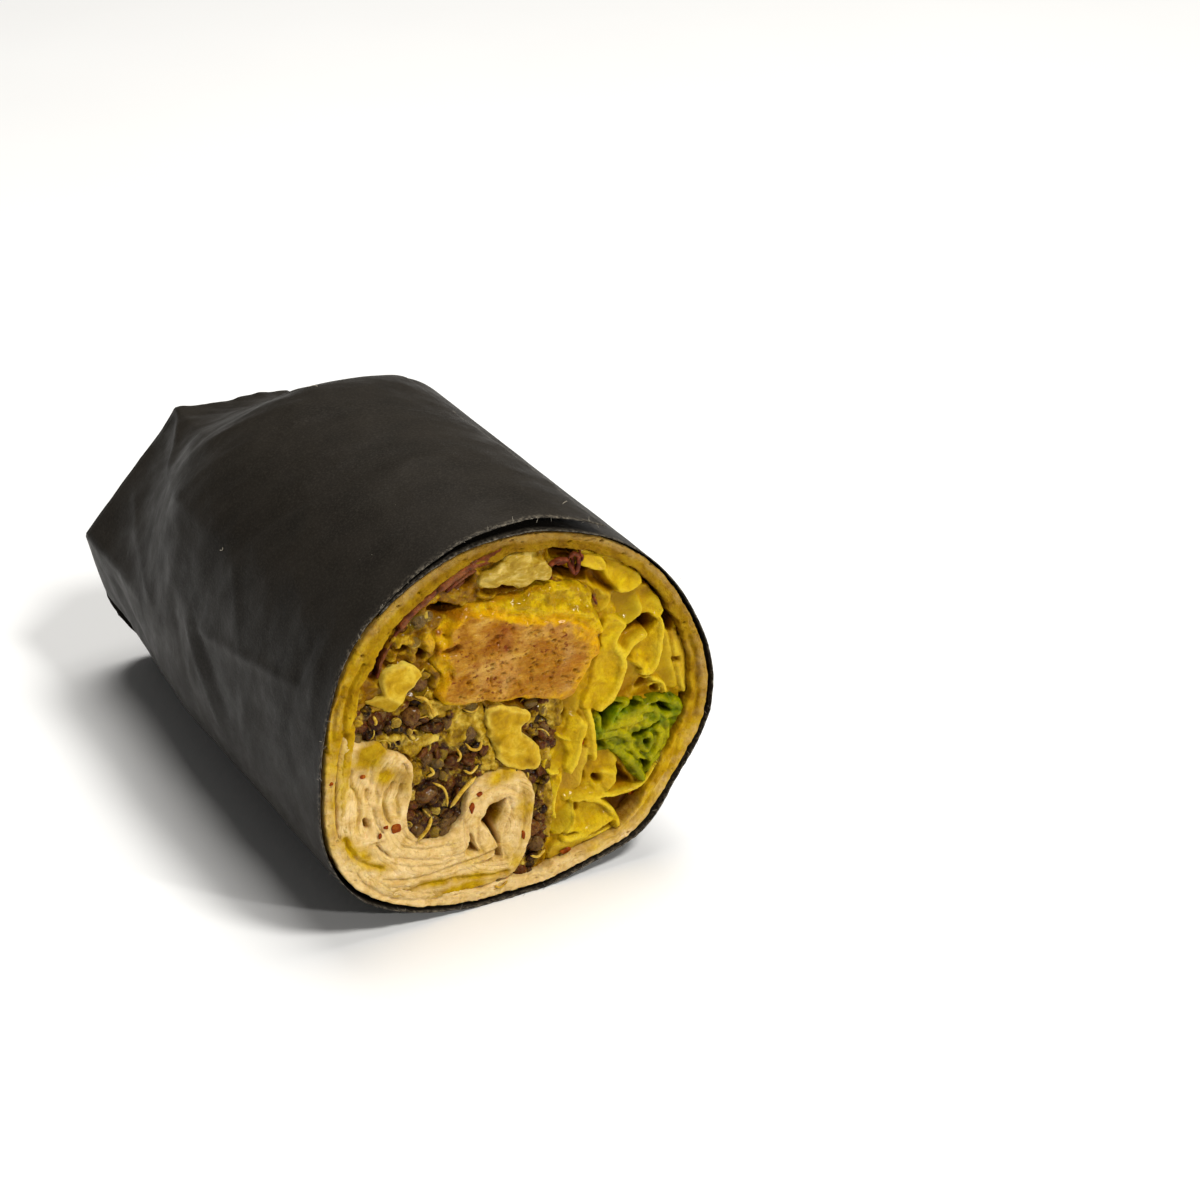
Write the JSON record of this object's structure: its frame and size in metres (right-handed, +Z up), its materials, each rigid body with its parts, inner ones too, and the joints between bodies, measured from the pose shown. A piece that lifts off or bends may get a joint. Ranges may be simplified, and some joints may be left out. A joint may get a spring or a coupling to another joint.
{
  "type": "chicken curry wrap",
  "caption": "Half of a chicken curry wrap lying in black paper: folded at one end, cut straight across at the other, where rolled tortilla, chicken, lettuce and quinoa show.",
  "frame": {"origin": "on the table, under the middle of the half wrap", "axes": "-Y is the way the cut face looks, +Y runs back along the roll to the folded paper end, +X is to the right seen from the cut, +Z is up"},
  "size_m": [0.0648, 0.0984, 0.062],
  "materials": {
    "paper": "matte black wrapping paper",
    "tortilla": "soft wheat tortilla",
    "chicken": "moist cut chicken",
    "fruit": "wet pale flesh",
    "cabbage": "wet translucent rib",
    "red_leaf": "wet dark red leaf",
    "green_leaf": "wet green leaf",
    "quinoa": "moist dark grains",
    "lettuce": "wet pale shreds in sauce",
    "curry_sauce": "thick yellow sauce"
  },
  "bodies": {
    "root": {"paper_wrap": "paper", "tortilla": "tortilla", "chicken": "chicken", "fruit_dice": "fruit", "fruit_chunk": "fruit", "cabbage_rib": "cabbage", "red_leaf": "red_leaf", "red_curl": "red_leaf", "green_leaf": "green_leaf", "quinoa_main": "quinoa", "quinoa_seam": "quinoa", "lettuce_shreds": "lettuce", "curry_sauce_1": "curry_sauce", "curry_sauce_2": "curry_sauce", "curry_sauce_3": "curry_sauce", "curry_sauce_4": "curry_sauce"}
  },
  "joints": []
}
